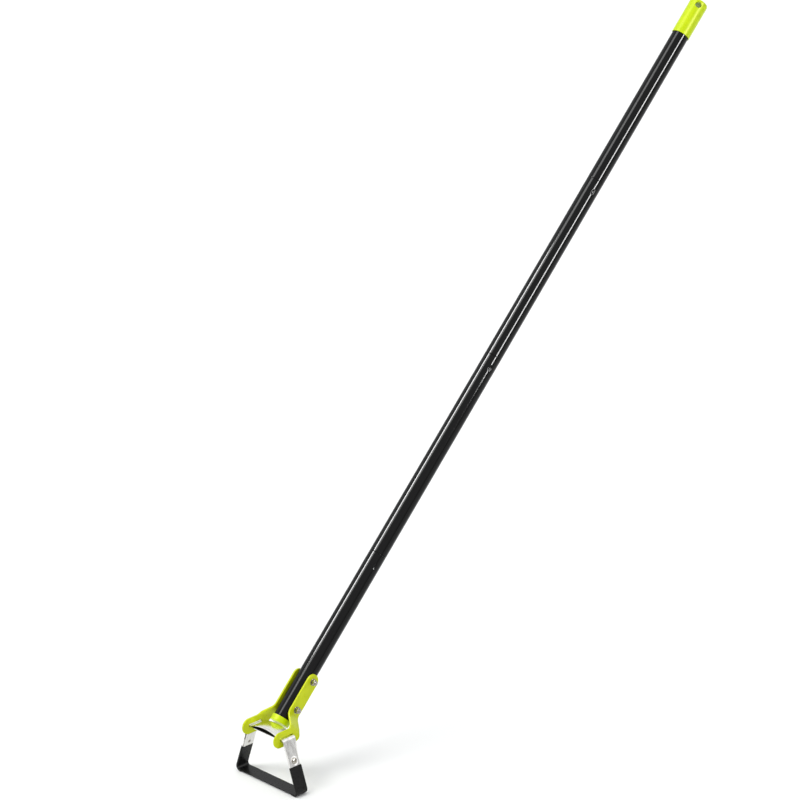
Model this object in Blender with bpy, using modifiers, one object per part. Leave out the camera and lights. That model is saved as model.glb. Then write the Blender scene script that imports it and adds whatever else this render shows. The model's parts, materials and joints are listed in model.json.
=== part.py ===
"""Stand-up stirrup weeder: a swinging stirrup blade on a four-piece screw-together pole.

Units are metres and +Z is up. The blade's bar lies flat on the ground and X runs along it. The
pole leans back over +Y, towards the person who holds it. Everything is laid out from the middle of
the bar's underside, and in the end it is all moved so that the origin is where the hands hold the
pole.
"""

import math

import bmesh
import bpy
from mathutils import Matrix, Vector

GAP = 0.0003
ARC_STEP = math.radians(15)
ARC_SAG = 0.00004
ROUND_SEGMENTS = 40
SMALL_SEGMENTS = 24
HEX_SIDES = 6
MERGE = 0.00001
CUT_EXTRA = 0.002

# The pole. Its axis passes through (0, POLE_FOOT_Y, POLE_FOOT_Z), and lengths run up from there.
POLE_LEAN = math.radians(45)
POLE_FOOT_Y = 0.0107
POLE_FOOT_Z = 0.0861
TUBE_RADIUS = 0.0140
TUBE_WALL = 0.0012
POLE_START = 0.0121
GRIP_STATION = 1.1600
SECTION_LENGTHS = (0.3023, 0.3657, 0.3348, 0.3257)
SEAM = 0.0003

# The screw joints inside the pole.
PLUG_LENGTH = 0.026
PLUG_RADIUS = TUBE_RADIUS - TUBE_WALL - GAP
THREAD_CREST = 0.0070
THREAD_ROOT = 0.0062
THREAD_PITCH = 0.0020
THREAD_TURNS = 8
SOCKET_RADIUS = THREAD_CREST + GAP

# The cap at the top of the pole.
CAP_RADIUS = 0.0152
CAP_SLEEVE = 0.0400
CAP_LENGTH = 0.0655
CAP_ROUNDING = 0.0035
CAP_HOLE_RADIUS = 0.0050
CAP_HOLE_FROM_TOP = 0.0100
CAP_HOLE_TURN = math.radians(-47)

# The collar that closes the foot of the pole.
COLLAR_RADIUS = 0.0155
COLLAR_BOTTOM = 0.0103
COLLAR_TOP = 0.0198
COLLAR_FLOOR = 0.0015
COLLAR_SPIGOT = 0.0300
COLLAR_SPIGOT_WALL = 0.0017

# The two side plates. The head is upright, and the strap above it follows the pole.
PLATE_THICKNESS = 0.0030
PLATE_HEAD_FRONT = -0.0258
PLATE_HEAD_BACK = 0.0275
PLATE_HEAD_BOTTOM = 0.0747
PLATE_HEAD_TOP = 0.1003
PLATE_FRONT_ROUNDING = 0.0127
PLATE_BACK_ROUNDING = 0.0090
PLATE_NECK_FRONT_ROUNDING = 0.0070
PLATE_NECK_BACK_ROUNDING = 0.0050
STRAP_HALF_WIDTH = 0.0122
STRAP_END = 0.1017
STRAP_END_ROUNDING = 0.0121
PLATE_X_AT_POLE = TUBE_RADIUS + GAP + PLATE_THICKNESS / 2
PLATE_X_AT_HEAD = 0.0350
PLATE_BEND_TOP = 0.0305
PLATE_BEND_BOTTOM = PLATE_BEND_TOP - (PLATE_X_AT_HEAD - PLATE_X_AT_POLE)
PLATE_UPPER_BEND_RADIUS = 0.0130
PLATE_LOWER_BEND_RADIUS = 0.0160

# The slot in each side plate that the swing bands pass through.
SLOT_HALF_WIDTH = 0.0134
SLOT_BOTTOM = 0.0852
SLOT_TOP = 0.0906
SLOT_CORNER_RADIUS = 0.0010

# The two bolts that clamp the plates to the pole.
BOLT_STATIONS = {"lower": 0.0400, "upper": 0.0897}
BOLT_RADIUS = 0.0025
BOLT_HOLE_RADIUS = BOLT_RADIUS + GAP
HEX_HALF_FLATS = 0.0042
BOLT_HEAD_HEIGHT = 0.0035
NUT_HEIGHT = 0.0045
WASHER_RADIUS = 0.0056
WASHER_THICKNESS = 0.0010
BOLT_TIP = 0.0265
BOLT_TIP_CHAMFER = 0.0006

# The stirrup. Its legs flare outwards going down, and swing about the slot's middle.
PIVOT_Z = (SLOT_TOP + SLOT_BOTTOM) / 2
LEG_FLARE = math.radians(19.5)
LEG_FOOT_HALF_WIDTH = 0.0723
BAND_THICKNESS = 0.0012
BAND_HALF_WIDTH = 0.0127
BAND_STATION = 0.0040
BAND_END = 0.0468
INNER_LEG_HALF_WIDTH = 0.0098
NARROW_FROM = 0.0870
NARROW_TO = 0.0790
TONGUE_THICKNESS = 0.0018
TONGUE_WIDTH = 0.0172
TONGUE_TOP = 0.0745

# The outer band is flat at the slots. Down each leg its two edges roll inwards to a channel.
ROLL_FROM = 0.0810
ROLL_TO = 0.0555
ROLL_FLAT_HALF = 0.0078
ROLL_EDGE_AT_SLOT = BAND_HALF_WIDTH - ROLL_FLAT_HALF
ROLL_EDGE_AT_END = 0.0041
ROLL_ANGLE = math.radians(88)
ROLL_STEPS = 4
ARCH_TOP = 0.0950
ARCH_CORNER_X = 0.0152
ARCH_RADIUS = 0.0780
ARCH_SPRING_X = 0.0320
ARCH_SPRING_RADIUS = 0.0050
OUTER_BEND_RADIUS = 0.0050
INNER_BEND_RADIUS = 0.0020
OUTER_BAND_Z = PIVOT_Z + GAP / 2 + BAND_THICKNESS / 2
INNER_BAND_Z = PIVOT_Z - GAP / 2 - BAND_THICKNESS / 2
OUTER_DEPTH = BAND_THICKNESS / 2
TONGUE_DEPTH = BAND_THICKNESS + GAP + TONGUE_THICKNESS / 2
INNER_DEPTH = 2 * TONGUE_DEPTH - OUTER_DEPTH

# The blade.
BLADE_THICKNESS = 0.0036
BLADE_HALF_WIDTH = 0.0115
BLADE_CORNER_RADIUS = 0.0064
BLADE_SET_IN = 0.0002
BLADE_DEPTH = BLADE_SET_IN + BLADE_THICKNESS / 2
BEVEL_WIDTH = 0.0065
BEVEL_HEIGHT = 0.0028
BEVEL_HALF_LENGTH = 0.0530
BEVEL_RUN_OUT = 0.0060

# The screw in each leg.
SCREW_Z = 0.0543
SCREW_RADIUS = 0.0022
SCREW_HOLE_RADIUS = SCREW_RADIUS + GAP
SCREW_HOLE_REACH = 0.0100
SCREW_HEAD_RADIUS = 0.0041
SCREW_HEAD_HEIGHT = 0.0022
SCREW_TIP = 0.0008
RECESS_LENGTH = 0.0042
RECESS_WIDTH = 0.0010
RECESS_DEPTH = 0.0012
CROWN_STEPS = 5

LIME_PAINT = ("lime_paint", (0.62, 0.76, 0.01), 0.0, 0.35)
LIME_PLASTIC = ("lime_plastic", (0.66, 0.86, 0.01), 0.0, 0.42)
BLACK_PAINT = ("black_pole_paint", (0.012, 0.012, 0.013), 0.0, 0.22)
BLADE_BLACK = ("black_blade_steel", (0.016, 0.016, 0.017), 0.2, 0.45)
POLISHED_STEEL = ("polished_steel", (0.80, 0.79, 0.77), 1.0, 0.12)
ZINC = ("zinc_plated_steel", (0.66, 0.66, 0.64), 1.0, 0.28)
THREAD_STEEL = ("turned_steel", (0.50, 0.50, 0.50), 1.0, 0.35)


def clear_scene():
    for obj in list(bpy.data.objects):
        bpy.data.objects.remove(obj, do_unlink=True)


def make_collection(name):
    collection = bpy.data.collections.new(name)
    bpy.context.scene.collection.children.link(collection)
    return collection


def make_material(recipe):
    name, colour, metallic, roughness = recipe
    material = bpy.data.materials.get(name) or bpy.data.materials.new(name)
    material.use_nodes = True
    shader = material.node_tree.nodes["Principled BSDF"]
    shader.inputs["Base Color"].default_value = (*colour, 1.0)
    shader.inputs["Metallic"].default_value = metallic
    shader.inputs["Roughness"].default_value = roughness
    material.diffuse_color = (*colour, 1.0)
    return material


def add_part(name, mesh, recipe, parent=None):
    part = bpy.data.objects.new(name, mesh)
    PARTS.objects.link(part)
    mesh.materials.append(make_material(recipe))
    part.parent = parent
    return part


def add_cutter(name, mesh, parent=None):
    cutter = bpy.data.objects.new(name, mesh)
    CUTTERS.objects.link(cutter)
    cutter.hide_render = True
    cutter.display_type = "WIRE"
    cutter.parent = parent
    return cutter


def add_empty(name, location, parent=None, lean=0.0):
    empty = bpy.data.objects.new(name, None)
    PARTS.objects.link(empty)
    empty.location = location
    empty.rotation_euler.x = lean
    empty.parent = parent
    return empty


def cut(part, cutter, operation="DIFFERENCE"):
    modifier = part.modifiers.new(cutter.name, "BOOLEAN")
    modifier.operation = operation
    modifier.object = cutter


def corner_arc(before, corner, after, radius):
    """Points of the arc of this radius that touches both legs of a corner."""
    towards_before = (before - corner).normalized()
    towards_after = (after - corner).normalized()
    half = towards_before.angle(towards_after) / 2
    centre = corner + (towards_before + towards_after).normalized() * (radius / math.sin(half))
    start = corner + towards_before * (radius / math.tan(half)) - centre
    end = corner + towards_after * (radius / math.tan(half)) - centre
    sweep = math.copysign(math.pi - 2 * half, start.x * end.y - start.y * end.x)
    step = min(ARC_STEP, 2 * math.acos(1 - ARC_SAG / radius))
    steps = max(2, math.ceil(abs(sweep) / step))
    return [centre + Matrix.Rotation(sweep * i / steps, 2) @ start for i in range(steps + 1)]


def rounded_path(start, corners, end):
    """An open path through corners given as (a, b, radius), with its two ends sharp."""
    marks = [Vector(start)] + [Vector(corner[:2]) for corner in corners] + [Vector(end)]
    points = [marks[0]]
    for i, corner in enumerate(corners, 1):
        points += corner_arc(marks[i - 1], marks[i], marks[i + 1], corner[2])
    return points + [marks[-1]]


def rounded_outline(corners):
    """A closed outline through corners given as (a, b, radius)."""
    marks = [Vector(corner[:2]) for corner in corners]
    points = []
    for i, corner in enumerate(corners):
        points += corner_arc(marks[i - 1], marks[i], marks[(i + 1) % len(marks)], corner[2])
    return points


def cylinder_mesh(name, radius, low, high, segments=SMALL_SEGMENTS):
    """A cylinder along its own Z, from low to high."""
    shape = bmesh.new()
    bmesh.ops.create_cone(
        shape, cap_ends=True, segments=segments, radius1=radius, radius2=radius, depth=high - low
    )
    bmesh.ops.translate(shape, verts=shape.verts, vec=(0, 0, (low + high) / 2))
    return finished_mesh(name, shape)


def box_mesh(name, size, centre=(0, 0, 0)):
    shape = bmesh.new()
    bmesh.ops.create_cube(shape, size=1.0)
    bmesh.ops.scale(shape, verts=shape.verts, vec=size)
    bmesh.ops.translate(shape, verts=shape.verts, vec=centre)
    return finished_mesh(name, shape)


def finished_mesh(name, shape):
    mesh = bpy.data.meshes.new(name)
    shape.to_mesh(mesh)
    shape.free()
    return mesh


def turned_part(name, profile, recipe, parent, closed=False, segments=ROUND_SEGMENTS):
    """A profile of (radius, height) turned round the part's own Z."""
    shape = bmesh.new()
    points = [shape.verts.new((radius, 0, height)) for radius, height in profile]
    for one, other in zip(points, points[1:] + points[:1] if closed else points[1:]):
        shape.edges.new((one, other))
    part = add_part(name, finished_mesh(name, shape), recipe, parent)
    screw = part.modifiers.new("turn", "SCREW")
    screw.steps = segments
    screw.render_steps = segments
    screw.use_merge_vertices = True
    screw.merge_threshold = MERGE
    screw.use_smooth_shade = True
    part.modifiers.new("normals", "WEIGHTED_NORMAL")
    return part


def ring_part(name, outer, inner, low, high, recipe, parent, segments=ROUND_SEGMENTS):
    """A tube or washer, from low to high along the part's own Z."""
    profile = [(outer, high), (outer, low), (inner, low), (inner, high)]
    return turned_part(name, profile, recipe, parent, closed=True, segments=segments)


def leg_point(height, depth):
    """(x, z) on the right leg, this far in from its outer face and level with this height."""
    return (
        LEG_FOOT_HALF_WIDTH - height * math.tan(LEG_FLARE) - depth / math.cos(LEG_FLARE),
        height,
    )


def leg_end(height, depth):
    """(x, z) where a cut square across the leg, at this height on its outer face, meets a depth."""
    x, z = leg_point(height, 0)
    return (x - depth * math.cos(LEG_FLARE), z - depth * math.sin(LEG_FLARE))


def with_stations(path, spacing):
    """The same path with points no further apart than this spacing."""
    points = [path[0]]
    for start, end in zip(path, path[1:]):
        steps = math.ceil((end - start).length / spacing)
        points += [start.lerp(end, i / steps) for i in range(1, steps + 1)]
    return points


def inward_normals(path):
    """The unit normal at each point, turned to the inside of a path that runs over and down."""
    normals = []
    for i in range(len(path)):
        tangent = path[min(i + 1, len(path) - 1)] - path[max(i - 1, 0)]
        normals.append(Vector((tangent.y, -tangent.x)).normalized())
    normals[0] = Vector((0, -1))
    return normals


def strap_part(name, path, section, thickness, recipe, parent):
    """A strap along half the path (x, z), with its mirror image.

    section(z) gives the strap's middle line there, as (y, how far it stands in from the path).
    """
    shape = bmesh.new()
    rows = []
    for point, normal in zip(path, inward_normals(path)):
        row = []
        for y, depth in section(point.y):
            x, z = point + normal * depth
            row.append(shape.verts.new((x, y, z)))
        rows.append(row)
    for upper, lower in zip(rows, rows[1:]):
        for i in range(len(upper) - 1):
            shape.faces.new((upper[i], upper[i + 1], lower[i + 1], lower[i]))
    part = add_part(name, finished_mesh(name, shape), recipe, parent)
    part.location = -parent.location
    mirror = part.modifiers.new("other_half", "MIRROR")
    mirror.merge_threshold = MERGE
    solidify = part.modifiers.new("thickness", "SOLIDIFY")
    solidify.thickness = thickness
    solidify.offset = 0
    solidify.use_even_offset = True
    return part


def eased(start, end, value):
    """0 at start and 1 at end, level at both."""
    t = min(max((value - start) / (end - start), 0), 1)
    return t * t * (3 - 2 * t)


def outer_section(z):
    """Flat in the middle, with edges that roll inwards down the leg."""
    roll = eased(ROLL_FROM, ROLL_TO, z)
    edge = ROLL_EDGE_AT_SLOT + roll * (ROLL_EDGE_AT_END - ROLL_EDGE_AT_SLOT)
    half = [(ROLL_FLAT_HALF, 0)]
    for i in range(1, ROLL_STEPS + 1):
        turned = ROLL_ANGLE * roll * i / ROLL_STEPS
        if turned:
            radius = edge / (ROLL_ANGLE * roll)
            step = (radius * math.sin(turned), radius * (1 - math.cos(turned)))
        else:
            step = (edge * i / ROLL_STEPS, 0)
        half.append((ROLL_FLAT_HALF + step[0], step[1]))
    return [(-y, depth) for y, depth in reversed(half)] + half


def inner_section(z):
    narrowing = BAND_HALF_WIDTH - INNER_LEG_HALF_WIDTH
    half = BAND_HALF_WIDTH - narrowing * eased(NARROW_FROM, NARROW_TO, z)
    return [(-half, 0), (half, 0)]


def blade_section(_):
    return [(-BLADE_HALF_WIDTH, 0), (BLADE_HALF_WIDTH, 0)]


def build_tube(number, length, frame):
    name = f"pole_section_{number}"
    inner = TUBE_RADIUS - TUBE_WALL
    return ring_part(name, TUBE_RADIUS, inner, SEAM / 2, length - SEAM / 2, BLACK_PAINT, frame)


def thread_profile(top):
    """(radius, height) along a thread of crests and roots, running down from the top."""
    points = []
    for turn in range(THREAD_TURNS):
        height = top - turn * THREAD_PITCH
        points += [(THREAD_ROOT, height), (THREAD_CREST, height - THREAD_PITCH / 2)]
    return points + [(THREAD_ROOT, top - THREAD_TURNS * THREAD_PITCH)]


def build_stud(number, frame):
    """The plug in the lower end of a section, with the threaded stud below it."""
    thread = thread_profile(-GAP)
    profile = [(0, PLUG_LENGTH), (PLUG_RADIUS, PLUG_LENGTH), (PLUG_RADIUS, GAP)]
    profile += [(THREAD_ROOT, GAP)] + thread + [(0, thread[-1][1])]
    turned_part(f"thread_stud_{number}", profile, THREAD_STEEL, frame, segments=SMALL_SEGMENTS)


def build_socket(number, length, frame):
    """The threaded insert that the dimples hold in the upper end of a section."""
    ring_part(
        f"thread_socket_{number}",
        PLUG_RADIUS,
        SOCKET_RADIUS,
        length - PLUG_LENGTH,
        length - GAP,
        THREAD_STEEL,
        frame,
        segments=SMALL_SEGMENTS,
    )


def build_cap(length, frame):
    """The plastic cap: a sleeve over the tube, solid above it, with a hole to hang it by."""
    bottom = length - CAP_SLEEVE
    top = bottom + CAP_LENGTH
    bore = TUBE_RADIUS + GAP
    rounding = corner_arc(
        Vector((0, top)), Vector((CAP_RADIUS, top)), Vector((CAP_RADIUS, bottom)), CAP_ROUNDING
    )
    profile = [(0, top)] + [tuple(point) for point in rounding]
    profile += [(CAP_RADIUS, bottom), (bore, bottom), (bore, length + GAP), (0, length + GAP)]
    cap = turned_part("end_cap", profile, LIME_PLASTIC, frame)
    hole = add_cutter(
        "cap_hole", cylinder_mesh("cap_hole", CAP_HOLE_RADIUS, -CAP_RADIUS * 2, CAP_RADIUS * 2), frame
    )
    hole.location.z = top - CAP_HOLE_FROM_TOP
    hole.rotation_euler = (0, math.pi / 2, CAP_HOLE_TURN)
    cut(cap, hole)


def build_collar(frame):
    """The plug that closes the foot of the pole: a cup round the tube and a spigot inside it."""
    bore = TUBE_RADIUS + GAP
    floor = COLLAR_BOTTOM + COLLAR_FLOOR
    spigot_inner = PLUG_RADIUS - COLLAR_SPIGOT_WALL
    profile = [
        (0, floor),
        (spigot_inner, floor),
        (spigot_inner, COLLAR_SPIGOT),
        (PLUG_RADIUS, COLLAR_SPIGOT),
        (PLUG_RADIUS, floor),
        (bore, floor),
        (bore, COLLAR_TOP),
        (COLLAR_RADIUS, COLLAR_TOP),
        (COLLAR_RADIUS, COLLAR_BOTTOM),
        (0, COLLAR_BOTTOM),
    ]
    turned_part("foot_collar", profile, LIME_PLASTIC, frame)


def pole_yz(across, along):
    """(y, z) of a point this far behind the pole's axis and this far up it."""
    up_axis = Vector((math.sin(POLE_LEAN), math.cos(POLE_LEAN)))
    behind = Vector((math.cos(POLE_LEAN), -math.sin(POLE_LEAN)))
    return Vector((POLE_FOOT_Y, POLE_FOOT_Z)) + across * behind + along * up_axis


def along_pole(y, z):
    """How far up the pole's axis the point (y, z) lies."""
    return (y - POLE_FOOT_Y) * math.sin(POLE_LEAN) + (z - POLE_FOOT_Z) * math.cos(POLE_LEAN)


def strap_edge_at(across, y=None, z=None):
    """(y, z) where an edge of the strap meets a line of constant y or constant z."""
    start = pole_yz(across, 0)
    if y is None:
        return (start.x + (z - start.y) * math.tan(POLE_LEAN), z)
    return (y, start.y + (y - start.x) / math.tan(POLE_LEAN))


def plate_outline():
    strap_back = pole_yz(STRAP_HALF_WIDTH, STRAP_END)
    strap_front = pole_yz(-STRAP_HALF_WIDTH, STRAP_END)
    neck_back = strap_edge_at(STRAP_HALF_WIDTH, y=PLATE_HEAD_BACK)
    neck_front = strap_edge_at(-STRAP_HALF_WIDTH, z=PLATE_HEAD_TOP)
    return rounded_outline(
        [
            (PLATE_HEAD_FRONT, PLATE_HEAD_BOTTOM, PLATE_FRONT_ROUNDING),
            (PLATE_HEAD_BACK, PLATE_HEAD_BOTTOM, PLATE_BACK_ROUNDING),
            (*neck_back, PLATE_NECK_BACK_ROUNDING),
            (*strap_back, STRAP_END_ROUNDING),
            (*strap_front, STRAP_END_ROUNDING),
            (*neck_front, PLATE_NECK_FRONT_ROUNDING),
            (PLATE_HEAD_FRONT, PLATE_HEAD_TOP, PLATE_FRONT_ROUNDING),
        ]
    )


def plate_bends():
    """(along the pole, x) of the plate's middle surface, from the strap's end down to the head."""
    return rounded_path(
        (STRAP_END, PLATE_X_AT_POLE),
        [
            (PLATE_BEND_TOP, PLATE_X_AT_POLE, PLATE_UPPER_BEND_RADIUS),
            (PLATE_BEND_BOTTOM, PLATE_X_AT_HEAD, PLATE_LOWER_BEND_RADIUS),
        ],
        (-STRAP_END, PLATE_X_AT_HEAD),
    )


def bent_x(bends, along):
    """The plate's x this far along the pole, between the two bend points on either side."""
    for (high, x_high), (low, x_low) in zip(bends, bends[1:]):
        if along >= low:
            return x_low + (x_high - x_low) * (along - low) / (high - low)
    return bends[-1][1]


def plate_mesh(name, side):
    """The flat outline, creased across the pole wherever the plate bends, then bent."""
    bends = plate_bends()
    shape = bmesh.new()
    shape.faces.new([shape.verts.new((0, y, z)) for y, z in plate_outline()])
    up_axis = (0, math.sin(POLE_LEAN), math.cos(POLE_LEAN))
    for along, _ in bends[1:-1]:
        point = (0, *pole_yz(0, along))
        everything = shape.verts[:] + shape.edges[:] + shape.faces[:]
        bmesh.ops.bisect_plane(shape, geom=everything, plane_co=point, plane_no=up_axis)
    for vertex in shape.verts:
        vertex.co.x = side * bent_x(bends, along_pole(vertex.co.y, vertex.co.z))
    return finished_mesh(name, shape)


def build_slot_cutter():
    """One bar with rounded edges, right through both plates."""
    reach = PLATE_X_AT_HEAD + PLATE_THICKNESS
    corners = [(-SLOT_HALF_WIDTH, SLOT_BOTTOM), (SLOT_HALF_WIDTH, SLOT_BOTTOM)]
    corners += [(SLOT_HALF_WIDTH, SLOT_TOP), (-SLOT_HALF_WIDTH, SLOT_TOP)]
    outline = rounded_outline([(y, z, SLOT_CORNER_RADIUS) for y, z in corners])
    shape = bmesh.new()
    face = shape.faces.new([shape.verts.new((-reach, y, z)) for y, z in outline])
    extruded = bmesh.ops.extrude_face_region(shape, geom=[face])["geom"]
    far_end = [item for item in extruded if isinstance(item, bmesh.types.BMVert)]
    bmesh.ops.translate(shape, verts=far_end, vec=(2 * reach, 0, 0))
    bmesh.ops.recalc_face_normals(shape, faces=shape.faces)
    return add_cutter("slot_cutter", finished_mesh("slot_cutter", shape))


def build_plates(bolt_holes):
    slot = build_slot_cutter()
    for side, name in ((-1, "side_plate_left"), (1, "side_plate_right")):
        plate = add_part(name, plate_mesh(name, side), LIME_PAINT)
        solidify = plate.modifiers.new("thickness", "SOLIDIFY")
        solidify.thickness = PLATE_THICKNESS
        solidify.offset = 0
        solidify.use_even_offset = True
        for cutter in [slot, *bolt_holes]:
            cut(plate, cutter)


def hex_mesh(name, low, high):
    """A hexagonal prism along Z, with its flats HEX_HALF_FLATS from the middle."""
    corner_radius = HEX_HALF_FLATS / math.cos(math.pi / HEX_SIDES)
    return cylinder_mesh(name, corner_radius, low, high, HEX_SIDES)


def place_across_pole(obj, station):
    """Turns a piece's own Z to +X and moves it to a station up the pole."""
    obj.rotation_euler.y = math.pi / 2
    obj.location.z = station


def build_bracket_bolt(which, station, frame):
    """One bolt from left to right, with a washer at each end and a nut, which it returns."""
    face = PLATE_X_AT_POLE + PLATE_THICKNESS / 2 + GAP
    washer_far = face + WASHER_THICKNESS
    seat = washer_far + GAP
    head = add_cutter(
        f"bolt_head_{which}", hex_mesh(f"bolt_head_{which}", -seat - BOLT_HEAD_HEIGHT, -seat), frame
    )
    place_across_pole(head, station)
    shank = [(0, BOLT_TIP), (BOLT_RADIUS - BOLT_TIP_CHAMFER, BOLT_TIP)]
    shank += [(BOLT_RADIUS, BOLT_TIP - BOLT_TIP_CHAMFER), (BOLT_RADIUS, -seat - CUT_EXTRA)]
    shank += [(0, -seat - CUT_EXTRA)]
    bolt = turned_part(f"bracket_bolt_{which}", shank, ZINC, frame, segments=SMALL_SEGMENTS)
    place_across_pole(bolt, station)
    cut(bolt, head, "UNION")
    for side, low, high in (("left", -washer_far, -face), ("right", face, washer_far)):
        washer = ring_part(
            f"bracket_washer_{which}_{side}",
            WASHER_RADIUS,
            BOLT_HOLE_RADIUS,
            low,
            high,
            ZINC,
            frame,
            segments=SMALL_SEGMENTS,
        )
        place_across_pole(washer, station)
    nut_name = f"bracket_nut_{which}"
    nut = add_part(nut_name, hex_mesh(nut_name, seat, seat + NUT_HEIGHT), ZINC, frame)
    place_across_pole(nut, station)
    return nut


def build_bolt_hole(which, station, frame):
    reach = PLATE_X_AT_POLE + PLATE_THICKNESS + NUT_HEIGHT * 2
    name = f"bolt_hole_{which}"
    hole = add_cutter(name, cylinder_mesh(name, BOLT_HOLE_RADIUS, -reach, reach), frame)
    place_across_pole(hole, station)
    return hole


def build_pole():
    """The foot, the four sections and the cap. Each section stands on the one below it."""
    lean = add_empty("pole_axis", (0, POLE_FOOT_Y, POLE_FOOT_Z), lean=-POLE_LEAN)
    build_collar(lean)
    bolt_holes = []
    for which, station in BOLT_STATIONS.items():
        hole = build_bolt_hole(which, station, lean)
        cut(build_bracket_bolt(which, station, lean), hole)
        bolt_holes.append(hole)
    frame = add_empty("section_1_foot", (0, 0, POLE_START), lean)
    for number, length in enumerate(SECTION_LENGTHS, 1):
        tube = build_tube(number, length, frame)
        if number == 1:
            for hole in bolt_holes:
                cut(tube, hole)
        if number > 1:
            build_stud(number - 1, frame)
        if number < len(SECTION_LENGTHS):
            build_socket(number, length, frame)
            frame = add_empty(f"unscrew_{number}", (0, 0, length), frame)
        else:
            build_cap(length, frame)
    return bolt_holes


def build_screw_holes():
    holes = []
    for side, name in ((-1, "screw_hole_left"), (1, "screw_hole_right")):
        mesh = cylinder_mesh(name, SCREW_HOLE_RADIUS, -SCREW_HOLE_REACH, SCREW_HOLE_REACH)
        hole = add_cutter(name, mesh)
        place_on_leg(hole, side)
        holes.append(hole)
    return holes


def place_on_leg(obj, side):
    """Turns a piece's own Z to point out of the leg's outer face, at the screw's height."""
    x, z = leg_point(SCREW_Z, 0)
    obj.rotation_euler.y = side * (math.pi / 2 - LEG_FLARE)
    obj.location = Vector((side * x, 0, z)) - (obj.parent.location if obj.parent else Vector())


def build_bands(pivot, screw_holes):
    outer_corner_x = leg_point(OUTER_BAND_Z, OUTER_DEPTH)[0]
    inner_corner_x = leg_point(INNER_BAND_Z, INNER_DEPTH)[0]
    outer_path = rounded_path(
        (0, ARCH_TOP),
        [
            (ARCH_CORNER_X, ARCH_TOP, ARCH_RADIUS),
            (ARCH_SPRING_X, OUTER_BAND_Z, ARCH_SPRING_RADIUS),
            (outer_corner_x, OUTER_BAND_Z, OUTER_BEND_RADIUS),
        ],
        leg_end(BAND_END, OUTER_DEPTH),
    )
    inner_path = rounded_path(
        (0, INNER_BAND_Z),
        [(inner_corner_x, INNER_BAND_Z, INNER_BEND_RADIUS)],
        leg_end(BAND_END, INNER_DEPTH),
    )
    for name, path, section in (
        ("band_outer", outer_path, outer_section),
        ("band_inner", inner_path, inner_section),
    ):
        stations = with_stations(path, BAND_STATION)
        band = strap_part(name, stations, section, BAND_THICKNESS, POLISHED_STEEL, pivot)
        for hole in screw_holes:
            cut(band, hole)


def build_blade(pivot, screw_holes):
    bar_z = BLADE_THICKNESS / 2
    corner_x = leg_point(bar_z, BLADE_DEPTH)[0]
    path = rounded_path(
        (0, bar_z),
        [(corner_x, bar_z, BLADE_CORNER_RADIUS)],
        leg_end(BAND_END - GAP, BLADE_DEPTH),
    )
    blade = strap_part("blade", path, blade_section, BLADE_THICKNESS, BLADE_BLACK, pivot)
    for side, label in ((-1, "left"), (1, "right")):
        cut(blade, build_tongue(label, side), "UNION")
        cut(blade, build_bevel_cutter(label, side))
    for hole in screw_holes:
        cut(blade, hole)


def build_tongue(label, side):
    """The thin upper end of a blade's leg, which the two bands hold between them."""
    name = f"tongue_{label}"
    length = (TONGUE_TOP - BAND_END) / math.cos(LEG_FLARE) + 2 * CUT_EXTRA
    size = (TONGUE_THICKNESS, TONGUE_WIDTH, length)
    tongue = add_cutter(name, box_mesh(name, size))
    x, z = leg_point((TONGUE_TOP + BAND_END) / 2 - CUT_EXTRA, TONGUE_DEPTH)
    tongue.location = (side * x, 0, z)
    tongue.rotation_euler.y = -side * LEG_FLARE
    return tongue


def build_bevel_cutter(label, side):
    """A block that grinds the underside of the bar to an edge, and runs out towards the corners."""
    name = f"bevel_{label}"
    depth = 4 * BEVEL_WIDTH
    height = 2 * BLADE_THICKNESS
    long_half = BEVEL_HALF_LENGTH + BEVEL_RUN_OUT * height / BEVEL_HEIGHT
    shape = bmesh.new()
    bmesh.ops.create_cube(shape, size=1.0)
    for vertex in shape.verts:
        half = BEVEL_HALF_LENGTH if vertex.co.z > 0 else long_half
        vertex.co.x = math.copysign(half, vertex.co.x)
        vertex.co.y = vertex.co.y * depth + side * depth / 4
        vertex.co.z = (vertex.co.z - 0.5) * height
    cutter = add_cutter(name, finished_mesh(name, shape))
    cutter.location = (0, side * (BLADE_HALF_WIDTH - BEVEL_WIDTH), 0)
    cutter.rotation_euler.x = side * math.atan2(BEVEL_HEIGHT, BEVEL_WIDTH)
    return cutter


def build_screws(pivot):
    """A pan-head screw through each leg, threaded into the inner band."""
    stack = 2 * TONGUE_DEPTH
    profile = crown_profile()
    profile += [(SCREW_RADIUS, GAP), (SCREW_RADIUS, -stack), (0, -stack - SCREW_TIP)]
    for side, label in ((-1, "left"), (1, "right")):
        screw = turned_part(f"blade_screw_{label}", profile, ZINC, pivot, segments=SMALL_SEGMENTS)
        place_on_leg(screw, side)
        for turn in (0, 1):
            name = f"recess_{label}_{turn}"
            top = GAP + SCREW_HEAD_HEIGHT
            size = (RECESS_LENGTH, RECESS_WIDTH, 2 * RECESS_DEPTH)
            recess = add_cutter(name, box_mesh(name, size, (0, 0, top)), pivot)
            place_on_leg(recess, side)
            spin = Matrix.Rotation(math.pi / 4 + turn * math.pi / 2, 4, "Z")
            recess.data.transform(spin)
            cut(screw, recess)


def crown_profile():
    """(radius, height) from the top of a domed screw head out to its rim."""
    angles = [math.pi / 2 * i / CROWN_STEPS for i in range(CROWN_STEPS + 1)]
    return [
        (SCREW_HEAD_RADIUS * math.sin(angle), GAP + SCREW_HEAD_HEIGHT * math.cos(angle))
        for angle in angles
    ]


def build_stirrup():
    pivot = add_empty("blade_swing", (0, 0, PIVOT_Z))
    screw_holes = build_screw_holes()
    build_bands(pivot, screw_holes)
    build_blade(pivot, screw_holes)
    build_screws(pivot)


def move_origin_to_grip():
    grip = Vector((0, *pole_yz(0, GRIP_STATION)))
    for obj in [*PARTS.objects, *CUTTERS.objects]:
        if obj.parent is None:
            obj.location -= grip


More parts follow.
